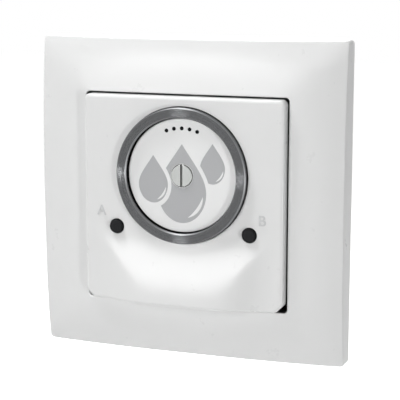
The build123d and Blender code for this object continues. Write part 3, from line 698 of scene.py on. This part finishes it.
class CONTROLLER_OT_buttons(bpy.types.Operator):
    """Finish the push buttons and the switches behind them"""

    bl_idname = "controller.buttons"
    bl_label = "Buttons"

    def execute(self, context):
        colour = tuple(settings_of(context).button_colour)
        dress(grained_plastic("button_black", colour, 0.6, grain=0.15, depth=0.006, flow=0.1, shine=0.15),
              "button_a", "button_b")
        dress(grained_plastic("switch_black", (0.03, 0.03, 0.03), 0.4, grain=0.3, depth=0.01, flow=0.08),
              "switch_a", "switch_b")
        dress(grained_plastic("stem_tan", (0.55, 0.42, 0.25), 0.4, grain=0.3, depth=0.01, flow=0.05),
              "switch_stem_a", "switch_stem_b")
        return {"FINISHED"}


class CONTROLLER_OT_carrier(bpy.types.Operator):
    """Finish the chassis, the steel support plate, the rear housing and the screws"""

    bl_idname = "controller.carrier"
    bl_label = "Chassis, support plate and rear housing"

    def execute(self, context):
        dress(grained_plastic("chassis_grey", (0.6, 0.6, 0.59), 0.42, grain=0.35, depth=0.008, flow=0.03),
              "chassis")
        dress(galvanised_sheet("galvanised_steel", (0.6, 0.61, 0.62)), "support_plate")
        dress(grained_plastic("housing_grey", (0.52, 0.53, 0.52), 0.42, grain=0.4, depth=0.012, flow=0.04),
              "rear_housing")
        zinc = plated_metal("zinc_plate", (0.66, 0.67, 0.68))
        dress(zinc, "board_screws", "housing_screws", "terminal_screws")
        return {"FINISHED"}


class CONTROLLER_OT_terminals(bpy.types.Operator):
    """Finish the terminals and number them"""

    bl_idname = "controller.terminals"
    bl_label = "Terminals"

    def execute(self, context):
        settings = settings_of(context)
        dress(grained_plastic("terminal_green", (0.08, 0.22, 0.12), 0.38, grain=0.35, depth=0.01, flow=0.06),
              "terminal_block")
        dress(plated_metal("clamp_brass", (0.72, 0.56, 0.28), 0.32), "terminal_clamps")
        white = grained_plastic("mark_white", (0.85, 0.85, 0.84), 0.4, grain=0.2, depth=0.002, flow=0.02)
        marks = settings.terminal_marks
        pitch = (block_high.x - block_low.x) / max(len(marks), 1)
        for i, mark in enumerate(marks):
            x = block_high.x - pitch * (i + 0.5)
            at = Vector((x, block_high.y, block_low.z - TERMINAL_MARK_DROP))
            raised_words("terminal_mark_" + mark, mark, settings.terminal_mark_height, TERMINAL_MARK_STAND,
                         at, radians(180), white)
        return {"FINISHED"}


class CONTROLLER_OT_boards(bpy.types.Operator):
    """Finish the circuit boards and what they carry"""

    bl_idname = "controller.boards"
    bl_label = "Boards"

    def execute(self, context):
        colour = tuple(settings_of(context).board_colour)
        dress(board_laminate("board_green", colour, (0.75, 0.74, 0.7)), "front_board", "main_board")
        dress(grained_plastic("sounder_black", (0.02, 0.02, 0.022), 0.35, grain=0.3, depth=0.01, flow=0.1),
              "sounder", "link_socket")
        dress(grained_plastic("relay_blue", (0.03, 0.1, 0.32), 0.3, grain=0.4, depth=0.008, flow=0.06),
              "relay")
        dress(two_part("chip_epoxy", (0.02, 0.02, 0.021), 0.5, TIN, chip_leads), "control_chip")
        dress(two_part("header_black", (0.02, 0.02, 0.02), 0.4, GOLD, header_pins), "link_header")
        dress(two_part("varistor_blue", (0.03, 0.12, 0.35), 0.25, TIN, varistor_leads), "varistor")
        dress(two_part("fuse_ceramic", (0.72, 0.68, 0.58), 0.5, TIN, fuse_caps), "fuse")
        dress(two_part("can_sleeve", (0.02, 0.022, 0.03), 0.25, ALUMINIUM, can_end), "capacitor")
        dress(striped("iron_sheets", (0.06, 0.06, 0.065), (0.2, 0.2, 0.21), "Z", 0.5 * MM, 0.45, metal=1.0),
              "transformer_core")
        dress(striped("winding_tape", (0.5, 0.32, 0.03), (0.75, 0.52, 0.08), "Y", 3.2 * MM, 0.3),
              "transformer_winding")
        return {"FINISHED"}


class CONTROLLER_OT_stage(bpy.types.Operator):
    """Set up the floor, the light and the camera"""

    bl_idname = "controller.stage"
    bl_label = "Stage"

    def execute(self, context):
        settings = settings_of(context)
        context.scene.view_settings.view_transform = "Standard"
        add_floor(settings.floor_drop)
        add_sky(settings.room_light)
        add_lamps(settings)
        add_camera(settings.lens)
        return {"FINISHED"}


class CONTROLLER_PT_pieces(bpy.types.Panel):
    """The controller's pieces"""

    bl_label = "Controller"
    bl_idname = "CONTROLLER_PT_pieces"
    bl_space_type = "VIEW_3D"
    bl_region_type = "UI"
    bl_category = "Controller"

    def draw(self, context):
        for operator in OPERATORS:
            self.layout.operator(operator.bl_idname)


OPERATORS = (
    CONTROLLER_OT_shell, CONTROLLER_OT_gauze, CONTROLLER_OT_marks, CONTROLLER_OT_ring, CONTROLLER_OT_drops,
    CONTROLLER_OT_screw, CONTROLLER_OT_buttons, CONTROLLER_OT_carrier, CONTROLLER_OT_terminals,
    CONTROLLER_OT_boards, CONTROLLER_OT_stage,
)
CLASSES = (ControllerSettings, *OPERATORS, CONTROLLER_PT_pieces)


def register():
    for made in CLASSES:
        bpy.utils.register_class(made)
    bpy.types.Scene.leak_controller = PointerProperty(type=ControllerSettings)


def unregister():
    del bpy.types.Scene.leak_controller
    for made in reversed(CLASSES):
        bpy.utils.unregister_class(made)


def main():
    register()
    bpy.ops.controller.shell()
    bpy.ops.controller.gauze()
    bpy.ops.controller.marks()
    bpy.ops.controller.ring()
    bpy.ops.controller.drops()
    bpy.ops.controller.screw()
    bpy.ops.controller.buttons()
    bpy.ops.controller.carrier()
    bpy.ops.controller.terminals()
    bpy.ops.controller.boards()
    bpy.ops.controller.stage()
    bpy.context.view_layer.update()


if __name__ == "__main__":
    main()
